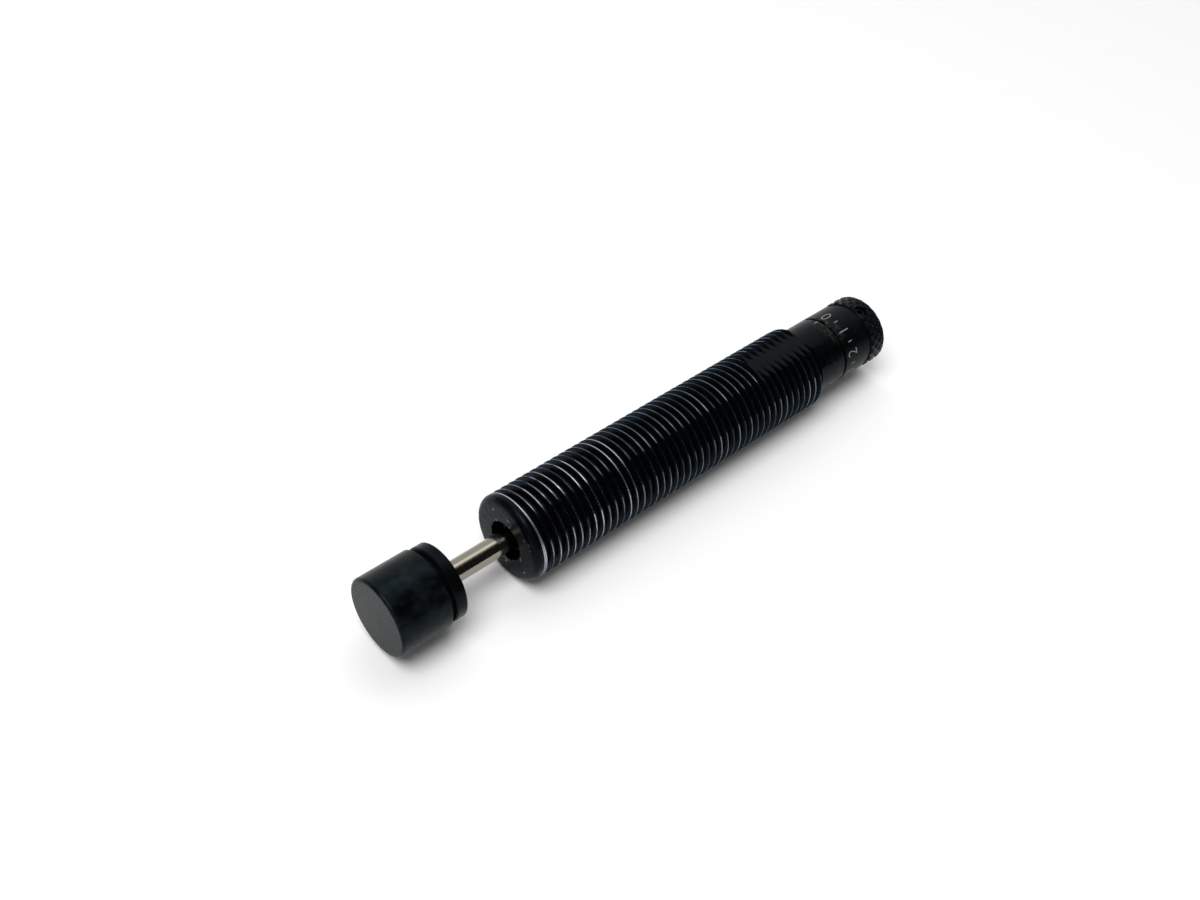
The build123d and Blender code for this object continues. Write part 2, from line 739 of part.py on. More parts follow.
export_step(lock_screw.part, "parts/lock_screw.step")
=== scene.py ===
import bpy
import bmesh
import json
import math
from mathutils import Matrix, Vector

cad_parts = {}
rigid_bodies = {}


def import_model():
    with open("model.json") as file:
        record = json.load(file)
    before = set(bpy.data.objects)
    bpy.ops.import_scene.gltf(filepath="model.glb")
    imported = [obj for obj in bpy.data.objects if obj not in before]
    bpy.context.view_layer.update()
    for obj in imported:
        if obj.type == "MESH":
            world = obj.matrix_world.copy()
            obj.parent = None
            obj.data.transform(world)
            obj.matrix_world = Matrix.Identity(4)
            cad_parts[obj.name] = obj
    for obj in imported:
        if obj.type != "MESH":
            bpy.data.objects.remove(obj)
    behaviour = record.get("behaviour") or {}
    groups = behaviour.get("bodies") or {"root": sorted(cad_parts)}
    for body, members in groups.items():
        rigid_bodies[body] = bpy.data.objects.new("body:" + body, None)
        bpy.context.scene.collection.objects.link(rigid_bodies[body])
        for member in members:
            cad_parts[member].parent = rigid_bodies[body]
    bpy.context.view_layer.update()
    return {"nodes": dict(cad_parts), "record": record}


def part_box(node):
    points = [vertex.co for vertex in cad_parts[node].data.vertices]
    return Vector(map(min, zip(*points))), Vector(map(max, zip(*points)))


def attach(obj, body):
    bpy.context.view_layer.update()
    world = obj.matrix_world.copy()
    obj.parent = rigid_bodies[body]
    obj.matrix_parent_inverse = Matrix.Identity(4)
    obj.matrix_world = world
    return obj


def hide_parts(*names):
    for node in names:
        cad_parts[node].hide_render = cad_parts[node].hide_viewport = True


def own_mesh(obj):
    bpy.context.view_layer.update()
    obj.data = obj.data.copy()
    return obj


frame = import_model()
nodes = frame["nodes"]
mm = 0.001
print("frame loaded,", len(nodes), "CAD nodes")


# Small helpers
def linear(hexColour):
    # sRGB hex to the linear numbers that shaders take
    shares = [int(hexColour[i:i + 2], 16) / 255 for i in (1, 3, 5)]
    return [c / 12.92 if c <= 0.04045 else ((c + 0.055) / 1.055) ** 2.4 for c in shares] + [1.0]


def addNode(tree, kind, values=None, links=None, **settings):
    # one node with its settings, input values and incoming links
    node = tree.nodes.new(kind)
    for name, value in settings.items():
        setattr(node, name, value)
    for name, value in (values or {}).items():
        node.inputs[name].default_value = value
    for name, source in (links or {}).items():
        tree.links.new(source, node.inputs[name])
    return node


def startMaterial(name, look):
    # a Principled material with its constant values already on the shader
    material = bpy.data.materials.new(name)
    material.use_nodes = True
    tree = material.node_tree
    shader = tree.nodes["Principled BSDF"]
    for socket, value in look.items():
        shader.inputs[socket].default_value = linear(value) if isinstance(value, str) else value
    return material, tree, shader


def newPiece(name, bm, material=None):
    mesh = bpy.data.meshes.new(name)
    bm.to_mesh(mesh)
    bm.free()
    piece = bpy.data.objects.new(name, mesh)
    bpy.context.scene.collection.objects.link(piece)
    if material:
        mesh.materials.append(material)
    return piece


def turned(outline, steps, closed=False):
    # spins an outline of (x, radius) points in millimetres once round X
    bm = bmesh.new()
    points = [bm.verts.new((x * mm, 0, r * mm)) for x, r in outline]
    ends = points[1:] + points[:1] if closed else points[1:]
    lines = [bm.edges.new(pair) for pair in zip(points, ends)]
    bmesh.ops.spin(bm, geom=points + lines, cent=(0, 0, 0), axis=(1, 0, 0),
                   angle=2 * math.pi, steps=steps, use_merge=True)
    bmesh.ops.remove_doubles(bm, verts=bm.verts, dist=0.001 * mm)
    bmesh.ops.recalc_face_normals(bm, faces=bm.faces)
    return bm


def roundRing(bm, x, r, size, segments):
    # bevels the ring edge that stands at x and radius r, in millimetres
    ring = [e for e in bm.edges if all(
        abs(v.co.x - x * mm) < 0.002 * mm and abs(math.hypot(v.co.y, v.co.z) - r * mm) < 0.002 * mm
        for v in e.verts)]
    bmesh.ops.bevel(bm, geom=ring, offset=size * mm, segments=segments, profile=0.5,
                    affect="EDGES", material=-1)


def rimAt(bm, place):
    # the open edges that stand at one place along X
    return [e for e in bm.edges
            if e.is_boundary and all(abs(v.co.x - place * mm) < 1e-7 for v in e.verts)]


def cutAcross(bm, place, dropRear):
    # cuts a shell square across at one place along X and closes the cut
    bmesh.ops.bisect_plane(bm, geom=bm.verts[:] + bm.edges[:] + bm.faces[:], dist=1e-9,
                           plane_co=(place * mm, 0, 0), plane_no=(1, 0, 0),
                           clear_outer=dropRear, clear_inner=not dropRear)
    bmesh.ops.edgeloop_fill(bm, edges=rimAt(bm, place))


def combine(piece, tool, operation):
    # boolean on two closed meshes; the tool is used up
    cut = piece.modifiers.new("cut", "BOOLEAN")
    cut.operation = operation
    cut.solver = "MANIFOLD"
    cut.object = tool
    solid = piece.evaluated_get(bpy.context.evaluated_depsgraph_get())
    mesh = bpy.data.meshes.new_from_object(solid)
    piece.modifiers.clear()
    piece.data = mesh
    bpy.data.objects.remove(tool)


def smoothByAngle(piece, degrees):
    bm = bmesh.new()
    bm.from_mesh(piece.data)
    bmesh.ops.remove_doubles(bm, verts=bm.verts, dist=0.0005 * mm)
    for face in bm.faces:
        face.smooth = True
    for edge in bm.edges:
        edge.smooth = len(edge.link_faces) == 2 and edge.calc_face_angle(0) < math.radians(degrees)
    bm.to_mesh(piece.data)
    bm.free()


# Materials
def addDust(tree, coords, base, dust):
    # pale dry dust that lies in blotches on the top side, round one place along X
    along = addNode(tree, "ShaderNodeSeparateXYZ", None, {0: coords}).outputs["X"]
    offset = addNode(tree, "ShaderNodeMath", {1: dust["place"] * mm}, {0: along},
                     operation="SUBTRACT").outputs[0]
    away = addNode(tree, "ShaderNodeMath", None, {0: offset}, operation="ABSOLUTE").outputs[0]
    near = addNode(tree, "ShaderNodeMapRange", {"From Min": 0.0, "From Max": dust["reach"] * mm,
                   "To Min": dust["most"], "To Max": 0.0}, {"Value": away}).outputs[0]
    height = addNode(tree, "ShaderNodeSeparateXYZ", None, {0: coords}).outputs["Z"]
    onTop = addNode(tree, "ShaderNodeMapRange", {"From Min": dust["from"] * mm,
                                                 "From Max": dust["full"] * mm},
                    {"Value": height}).outputs[0]
    near = addNode(tree, "ShaderNodeMath", None, {0: near, 1: onTop}, operation="MULTIPLY").outputs[0]
    blotches = addNode(tree, "ShaderNodeTexNoise", {"Scale": 1 / (dust["blotch"] * mm), "Detail": 5.0},
                       {"Vector": coords}).outputs[0]
    blotches = addNode(tree, "ShaderNodeMapRange", {"From Min": 0.46, "From Max": 0.64},
                       {"Value": blotches}).outputs[0]
    share = addNode(tree, "ShaderNodeMath", None, {0: near, 1: blotches}, operation="MULTIPLY").outputs[0]
    return addNode(tree, "ShaderNodeMix", {"B": linear(dust["colour"])}, {"Factor": share, "A": base},
                   data_type="RGBA").outputs[2]


seamDust = {"place": 68.6, "reach": 2.2, "most": 0.8, "blotch": 0.6, "from": 4.6, "full": 5.8,
            "colour": "#45443a"}


def makeThreadSteel():
    # black oxide on rolled steel, wet with oil: near black with a blue gleam, the
    # crests rubbed through to bare steel in thin lines that come and go
    look = {"black": "#030406", "bare": "#b9bbc2", "gleam": "#c3e2ff", "shine": 0.08, "crestRadius": 7.14375,
            "rubbedDepth": 0.02, "noseEnd": -0.12, "patchSize": 2.6, "crestSize": 1.5, "nickSize": 1.1,
            "gritSize": 0.3, "oilSize": 0.9, "crestRoughness": 0.13}
    # each band: place and reach along X, how bare, how much duller, how evenly
    rubbedBands = ((0.05, 0.45, 1.0, 0.25, 0.8), (7.5, 7.5, 0.9, 0.0, 0.0), (17.4, 1.5, 0.9, 0.25, 0.7),
                   (61.75, 0.2, 0.7, 0.2, 0.5))
    material, tree, shader = startMaterial("oiledBlackOxideSteel", {
        "Specular IOR Level": look["shine"], "Specular Tint": look["gleam"]})
    coords = addNode(tree, "ShaderNodeTexCoord").outputs["Object"]
    across = addNode(tree, "ShaderNodeVectorMath", {1: (0, 1, 1)}, {0: coords},
                     operation="MULTIPLY").outputs[0]
    radius = addNode(tree, "ShaderNodeVectorMath", None, {0: across}, operation="LENGTH").outputs["Value"]
    along = addNode(tree, "ShaderNodeSeparateXYZ", None, {0: coords}).outputs["X"]
    crest = addNode(tree, "ShaderNodeMapRange", {
        "From Min": (look["crestRadius"] - look["rubbedDepth"]) * mm,
        "From Max": (look["crestRadius"] - 0.01) * mm}, {"Value": radius}).outputs[0]
    behindNose = addNode(tree, "ShaderNodeMapRange", {
        "From Min": (look["noseEnd"] - 0.05) * mm, "From Max": look["noseEnd"] * mm},
        {"Value": along}).outputs[0]
    lineSize = addNode(tree, "ShaderNodeMath", {1: 1 / (look["crestSize"] * mm)}, {0: along},
                       operation="MULTIPLY").outputs[0]
    lines = addNode(tree, "ShaderNodeTexNoise", {"Scale": 1.0, "Detail": 1.0}, {"W": lineSize},
                    noise_dimensions="1D").outputs[0]
    patches = addNode(tree, "ShaderNodeTexNoise", {"Scale": 1 / (look["patchSize"] * mm), "Detail": 4.0},
                      {"Vector": coords}).outputs[0]
    wear = addNode(tree, "ShaderNodeMath", None, {0: lines, 1: patches}, operation="ADD").outputs[0]
    patchy = addNode(tree, "ShaderNodeMapRange", {"From Min": 0.85, "From Max": 1.2},
                     {"Value": wear}).outputs[0]
    wear = addNode(tree, "ShaderNodeMapRange", {"To Min": 0.06, "To Max": 0.35}, {"Value": patchy}).outputs[0]
    crestRough = addNode(tree, "ShaderNodeValue")
    crestRough.outputs[0].default_value = look["crestRoughness"]
    crestRough = crestRough.outputs[0]
    for place, reach, bare, duller, even in rubbedBands:
        offset = addNode(tree, "ShaderNodeMath", {1: place * mm}, {0: along}, operation="SUBTRACT").outputs[0]
        away = addNode(tree, "ShaderNodeMath", None, {0: offset}, operation="ABSOLUTE").outputs[0]
        band = addNode(tree, "ShaderNodeMapRange", {"From Min": reach * 0.6 * mm, "From Max": reach * mm,
                       "To Min": 1.0, "To Max": 0.0}, {"Value": away}).outputs[0]
        share = addNode(tree, "ShaderNodeMapRange", {"To Min": bare * even, "To Max": bare},
                        {"Value": patchy})
        rubbed = addNode(tree, "ShaderNodeMath", None, {0: band, 1: share.outputs[0]},
                         operation="MULTIPLY").outputs[0]
        wear = addNode(tree, "ShaderNodeMath", None, {0: wear, 1: rubbed}, operation="MAXIMUM").outputs[0]
        crestRough = addNode(tree, "ShaderNodeMath", {1: duller}, {0: band, 2: crestRough},
                             operation="MULTIPLY_ADD").outputs[0]
    rubbed = addNode(tree, "ShaderNodeMath", None, {0: crest, 1: wear}, operation="MULTIPLY").outputs[0]
    rubbed = addNode(tree, "ShaderNodeMath", None, {0: rubbed, 1: behindNose},
                     operation="MULTIPLY").outputs[0]
    nicks = addNode(tree, "ShaderNodeTexNoise", {"Scale": 1 / (look["nickSize"] * mm), "Detail": 2.0},
                    {"Vector": coords}).outputs[0]
    nicks = addNode(tree, "ShaderNodeMapRange", {"From Min": 0.67, "From Max": 0.72, "To Max": 0.5},
                    {"Value": nicks}).outputs[0]
    atNose = addNode(tree, "ShaderNodeMapRange", {"From Min": -1.5 * mm, "From Max": -0.2 * mm, "To Min": 1.0,
                     "To Max": 0.0}, {"Value": along}).outputs[0]
    nicks = addNode(tree, "ShaderNodeMath", None, {0: nicks, 1: atNose}, operation="MULTIPLY").outputs[0]
    rubbed = addNode(tree, "ShaderNodeMath", None, {0: rubbed, 1: nicks}, operation="MAXIMUM").outputs[0]
    colour = addNode(tree, "ShaderNodeMix", {"A": linear(look["black"]), "B": linear(look["bare"])},
                     {"Factor": rubbed}, data_type="RGBA").outputs[2]
    colour = addDust(tree, coords, colour, seamDust)
    tree.links.new(colour, shader.inputs["Base Color"])
    metal = addNode(tree, "ShaderNodeMapRange", {"From Max": 0.04}, {"Value": rubbed}).outputs[0]
    tree.links.new(metal, shader.inputs["Metallic"])
    grit = addNode(tree, "ShaderNodeTexNoise", {"Scale": 1 / (look["gritSize"] * mm), "Detail": 3.0},
                   {"Vector": coords}).outputs[0]
    oil = addNode(tree, "ShaderNodeTexNoise", {"Scale": 1 / (look["oilSize"] * mm), "Detail": 2.0},
                  {"Vector": coords}).outputs[0]
    rough = addNode(tree, "ShaderNodeMapRange", {"From Min": 0.35, "From Max": 0.65, "To Min": 0.16,
                                                 "To Max": 0.4},
                    {"Value": oil}).outputs[0]
    rough = addNode(tree, "ShaderNodeMix", None, {"Factor": crest, "A": rough, "B": crestRough}).outputs[0]
    tree.links.new(rough, shader.inputs["Roughness"])
    ripples = addNode(tree, "ShaderNodeBump", {"Strength": 0.35, "Distance": 0.03 * mm},
                      {"Height": oil}).outputs[0]
    bump = addNode(tree, "ShaderNodeBump", {"Strength": 0.2, "Distance": 0.008 * mm},
                   {"Height": grit, "Normal": ripples}).outputs[0]
    tree.links.new(bump, shader.inputs["Normal"])
    return material


def makeSatin(name, look):
    # a dull or satin finish: colour drifts over a few millimetres, the grain catches the light
    material, tree, shader = startMaterial(name, {"Specular IOR Level": look["shine"],
                                                  "Specular Tint": look.get("gleam", "#ffffff")})
    coords = addNode(tree, "ShaderNodeTexCoord").outputs["Object"]
    grain = addNode(tree, "ShaderNodeTexNoise", {"Scale": 1 / (look["grain"] * mm), "Detail": 4.0},
                    {"Vector": coords}).outputs[0]
    drift = addNode(tree, "ShaderNodeTexNoise", {"Scale": 1 / (look["drift"] * mm), "Detail": 3.0},
                    {"Vector": coords}).outputs[0]
    drift = addNode(tree, "ShaderNodeMapRange", {"From Min": 0.4, "From Max": 0.7},
                    {"Value": drift}).outputs[0]
    colour = addNode(tree, "ShaderNodeMix", {"A": linear(look["colour"]), "B": linear(look["paler"])},
                     {"Factor": drift}, data_type="RGBA").outputs[2]
    if "dust" in look:
        colour = addDust(tree, coords, colour, look["dust"])
    tree.links.new(colour, shader.inputs["Base Color"])
    rough = addNode(tree, "ShaderNodeMapRange", {"From Min": 0.3, "From Max": 0.7,
                                                 "To Min": look["smoothest"],
                    "To Max": look["roughest"]}, {"Value": grain}).outputs[0]
    tree.links.new(rough, shader.inputs["Roughness"])
    bump = addNode(tree, "ShaderNodeBump", {"Strength": 0.3, "Distance": look["depth"] * mm},
                   {"Height": grain})
    tree.links.new(bump.outputs[0], shader.inputs["Normal"])
    return material


def makeTurnedMetal(name, look):
    # turned, ground or drawn metal: fine rings round X from the tool, the wheel or the die
    material, tree, shader = startMaterial(name, {"Metallic": 1.0, "Base Color": look["colour"]})
    coords = addNode(tree, "ShaderNodeTexCoord").outputs["Object"]
    stretched = addNode(tree, "ShaderNodeMapping", {"Scale": (1, 0.04, 0.04)}, {"Vector": coords}).outputs[0]
    rings = addNode(tree, "ShaderNodeTexNoise", {"Scale": 1 / (look["lines"] * mm), "Detail": 3.0},
                    {"Vector": stretched}).outputs[0]
    rough = addNode(tree, "ShaderNodeMapRange", {"From Min": 0.3, "From Max": 0.7,
                                                 "To Min": look["smoothest"],
                    "To Max": look["roughest"]}, {"Value": rings}).outputs[0]
    tree.links.new(rough, shader.inputs["Roughness"])
    bump = addNode(tree, "ShaderNodeBump", {"Strength": 0.2, "Distance": look["depth"] * mm},
                   {"Height": rings})
    tree.links.new(bump.outputs[0], shader.inputs["Normal"])
    return material


finishes = {
    "black_oxide_steel": makeThreadSteel(),
    "ground_rod_steel": makeTurnedMetal("groundStainlessSteel", {  # ground and polished: bright, warm
        "colour": "#8e8a7e", "smoothest": 0.1, "roughest": 0.2, "lines": 0.12, "depth": 0.002}),
    "black_button_steel": makeSatin("blackOxideTurnedSteel", {  # turned, blackened: a soft gleam
        "colour": "#040506", "paler": "#0a0b0d", "gleam": "#c3e2ff", "shine": 0.07, "grain": 0.3,
        "drift": 3.0,
        "smoothest": 0.2, "roughest": 0.32, "depth": 0.006}),
    "moulded_cap": makeSatin("mouldedUrethane", {  # cast in a polished mould, then scuffed: satin charcoal
        "colour": "#030405", "paler": "#121517", "gleam": "#aae2f0", "shine": 0.11, "grain": 0.25,
        "drift": 1.6,
        "smoothest": 0.24, "roughest": 0.36, "depth": 0.006}),
    "seal_rubber": makeSatin("mouldedNitrileRubber", {  # moulded and oily: black with hardly a gleam
        "colour": "#050505", "paler": "#0b0b0b", "shine": 0.15, "grain": 0.25, "drift": 2.0,
        "smoothest": 0.5, "roughest": 0.65, "depth": 0.01}),
    "inner_steel": makeTurnedMetal("turnedSteel", {  # turned and left bare: grey with fine tool lines
        "colour": "#a9abae", "smoothest": 0.25, "roughest": 0.37, "lines": 0.15, "depth": 0.004}),
    "spring_steel": makeTurnedMetal("drawnSpringSteel", {  # drawn wire: darker grey, smooth
        "colour": "#85868a", "smoothest": 0.27, "roughest": 0.39, "lines": 0.4, "depth": 0.003}),
    "bearing_bronze": makeTurnedMetal("turnedBronze", {  # turned bronze: brown gold with tool lines
        "colour": "#b58a4e", "smoothest": 0.25, "roughest": 0.37, "lines": 0.15, "depth": 0.004}),
    "cell_foam": makeSatin("closedCellFoam", {  # cut foam: dull dark grey, open cells at the cut
        "colour": "#2b2b2d", "paler": "#3a3a3c", "shine": 0.2, "grain": 0.35, "drift": 4.0,
        "smoothest": 0.77, "roughest": 0.93, "depth": 0.12}),
    "black_anodised_knob": makeSatin("blackAnodisedAluminium", {  # turned, dyed black: satin, dusty seam
        "colour": "#040506", "paler": "#090b0c", "gleam": "#aadcf6", "shine": 0.078, "grain": 0.16,
        "drift": 1.8,
        "smoothest": 0.26, "roughest": 0.42, "depth": 0.005, "dust": seamDust}),
    "black_screw_steel": makeSatin("blackOxideScrewSteel", {  # cold headed and blackened
        "colour": "#020203", "paler": "#050506", "shine": 0.08, "grain": 0.2, "drift": 1.0,
        "smoothest": 0.3, "roughest": 0.46, "depth": 0.006}),
    "printed_marks": makeSatin("padPrintedInk", {  # a thin film of light grey ink: flat and chalky
        "colour": "#7b7d79", "paler": "#8f918d", "shine": 0.4, "grain": 0.2, "drift": 0.8,
        "smoothest": 0.5, "roughest": 0.7, "depth": 0.004}),
}
for entry in frame["record"]["subparts"]:
    node = nodes[entry["node"]]
    for place in range(len(node.data.materials)):
        node.data.materials[place] = finishes[entry["material_slot"]]
    if not node.data.materials:
        node.data.materials.append(finishes[entry["material_slot"]])
print("materials made")


# Threaded body
def makeThreadedBody():
    size = {"pitch": 1.4111, "depth": 0.764, "firstCrest": -4.3, "steps": 144, "noseRound": 1.15,
            "rearChamfer": 0.3, "threadEnd": 61.9, "neckRadius": 6.025, "neckChamfer": 0.15,
            "holeRadius": 3.3, "lipLength": 2.4, "boreRadius": 5.0,
            "ringFront": 66.4, "ringRear": 67.2, "ringRadius": 5.35, "flatHeight": 6.35, "flatLength": 12.7,
            "overrun": 0.8, "teethPast": 3, "skin": 0.01, "noseSide": 0.05, "noseReach": 4, "noseCore": 0.2,
            "neckReach": 9, "cutterMargin": 0.5, "cutterWidth": 20, "cutterHeight": 4}
    low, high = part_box("threaded_body")
    front, rear, radius = low.x / mm, high.x / mm, high.y / mm
    root = radius - size["depth"]
    skin = radius + size["skin"]
    halfCrest = size["pitch"] / 16
    slope = size["depth"] * math.tan(math.radians(30))

    # the helix: a row of 60 degree teeth, spun once while it moves on by one pitch
    bm = bmesh.new()
    outline = []
    crest = size["firstCrest"]
    while crest < size["threadEnd"] + size["teethPast"]:
        outline += [(crest - halfCrest, radius), (crest + halfCrest, radius),
                    (crest + halfCrest + slope, root), (crest + size["pitch"] - halfCrest - slope, root)]
        crest += size["pitch"]
    points = [bm.verts.new((x * mm, 0, r * mm)) for x, r in outline]
    lines = [bm.edges.new(pair) for pair in zip(points, points[1:])]
    bmesh.ops.spin(bm, geom=points + lines, cent=(0, 0, 0), axis=(1, 0, 0), angle=2 * math.pi,
                   dvec=(size["pitch"] * mm / size["steps"], 0, 0), steps=size["steps"], use_merge=False)
    bmesh.ops.remove_doubles(bm, verts=bm.verts, dist=0.002 * mm)
    cutAcross(bm, front - size["overrun"], False)
    cutAcross(bm, size["threadEnd"] + size["overrun"], True)
    bmesh.ops.triangulate(bm, faces=[f for f in bm.faces if len(f.verts) > 4])
    bmesh.ops.recalc_face_normals(bm, faces=bm.faces)
    body = newPiece("threadedBody", bm)

    # the blank that the thread was cut into: rounded nose, chamfered rear end
    blank = turned([(front, 0), (front, skin),
                    (size["threadEnd"] - size["rearChamfer"], skin),
                    (size["threadEnd"], radius - size["rearChamfer"]), (size["threadEnd"], 0)], size["steps"])
    roundRing(blank, front, skin, size["noseRound"], 8)
    combine(body, newPiece("blank", blank), "INTERSECT")

    # plain nose in front of the first turn
    nose = turned([(front, 0), (front, radius), (size["noseSide"], radius),
                   (size["noseSide"] + slope, root), (size["noseReach"], root - size["noseCore"]),
                   (size["noseReach"], 0)],
                  size["steps"])
    roundRing(nose, front, radius, size["noseRound"], 8)
    combine(body, newPiece("nose", nose), "UNION")

    # plain rear neck
    neck = turned([(rear - size["neckReach"], 0), (rear - size["neckReach"], size["neckRadius"]),
                   (rear - size["neckChamfer"], size["neckRadius"]),
                   (rear, size["neckRadius"] - size["neckChamfer"]), (rear, 0)], size["steps"])
    combine(body, newPiece("neck", neck), "UNION")

    # rod hole, bore and the groove for the snap ring
    lip = front + size["lipLength"]
    bore = turned([(front - 1, 0), (front - 1, size["holeRadius"]), (lip, size["holeRadius"]),
                   (lip, size["boreRadius"]), (size["ringFront"], size["boreRadius"]),
                   (size["ringFront"], size["ringRadius"]), (size["ringRear"], size["ringRadius"]),
                   (size["ringRear"], size["boreRadius"]), (rear + 1, size["boreRadius"]), (rear + 1, 0)],
                  size["steps"])
    combine(body, newPiece("bore", bore), "DIFFERENCE")

    # wrench flats
    for side in (1, -1):
        cutter = bmesh.new()
        bmesh.ops.create_cube(cutter, size=1)
        bmesh.ops.scale(cutter, vec=(
            (size["flatLength"] + size["cutterMargin"]) * mm, size["cutterWidth"] * mm,
            size["cutterHeight"] * mm), verts=cutter.verts)
        bmesh.ops.translate(cutter, verts=cutter.verts, vec=(
            (size["threadEnd"] - size["flatLength"] / 2 + size["cutterMargin"] / 2) * mm, 0,
            side * (size["flatHeight"] + size["cutterHeight"] / 2) * mm))
        combine(body, newPiece("flatCutter", cutter), "DIFFERENCE")
    smoothByAngle(body, 25)
    body.data.materials.clear()
    body.data.materials.append(finishes["black_oxide_steel"])
    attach(body, "cylinder")
    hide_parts("threaded_body")
    print("threaded body:", len(body.data.polygons), "faces")


makeThreadedBody()


# Return spring
def makeReturnSpring():
    wire = {"radius": 0.25, "coilRadius": 2.9, "turns": 9, "sides": 12, "stepsPerTurn": 40, "travel": 10.2}
    low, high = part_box("return_spring")
    front, rear = low.x / mm, high.x / mm
    pitch = (rear - front) / wire["turns"]
    extra = 2 * wire["radius"] / pitch  # the wire runs past both ends, which are ground off flat
    bm = bmesh.new()
    bmesh.ops.create_circle(bm, cap_ends=False, segments=wire["sides"], radius=wire["radius"] * mm)
    tilt = math.atan(pitch / (2 * math.pi * wire["coilRadius"]))
    bmesh.ops.rotate(bm, verts=bm.verts, cent=(0, 0, 0), matrix=Matrix.Rotation(math.pi / 2, 3, "X"))
    bmesh.ops.rotate(bm, verts=bm.verts, cent=(0, 0, 0), matrix=Matrix.Rotation(-tilt, 3, "Z"))
    bmesh.ops.translate(bm, verts=bm.verts, vec=((front - extra * pitch) * mm, 0, wire["coilRadius"] * mm))
    turns = wire["turns"] + 2 * extra
    steps = round(turns * wire["stepsPerTurn"])
    bmesh.ops.spin(bm, geom=bm.verts[:] + bm.edges[:], cent=(0, 0, 0), axis=(1, 0, 0),
                   angle=2 * math.pi * turns,
                   dvec=(pitch * turns * mm / steps, 0, 0), steps=steps, use_merge=False)
    cutAcross(bm, front, False)
    cutAcross(bm, rear, True)
    bmesh.ops.recalc_face_normals(bm, faces=bm.faces)
    spring = newPiece("returnSpring", bm, finishes["spring_steel"])
    smoothByAngle(spring, 50)
    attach(spring, "spring")
    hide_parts("return_spring")
    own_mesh(spring)
    print("return spring:", len(spring.data.polygons), "faces")


makeReturnSpring()


# Seal rings
def makeSealRings():
    ring = {"sides": 16, "steps": 64}
    bodies = {"bearing_o_ring": "cylinder", "end_plug_o_ring": "cylinder", "needle_o_ring": "needle"}
    for node, body in bodies.items():
        low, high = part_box(node)
        section = (high.x - low.x) / 2 * math.cos(math.radians(30)) / mm  # the solid's section is a hexagon
        middle, reach = (low.x + high.x) / 2 / mm, high.y / mm - section
        turns = [2 * math.pi * k / ring["sides"] for k in range(ring["sides"])]
        outline = [(middle + section * math.cos(turn), reach + section * math.sin(turn)) for turn in turns]
        words = node.split("_")
        name = words[0] + "".join(word.capitalize() for word in words[1:])
        piece = newPiece(name, turned(outline, ring["steps"], closed=True), finishes["seal_rubber"])
        smoothByAngle(piece, 60)
        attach(piece, body)
        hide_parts(node)
    print("seal rings:", len(bodies))


makeSealRings()


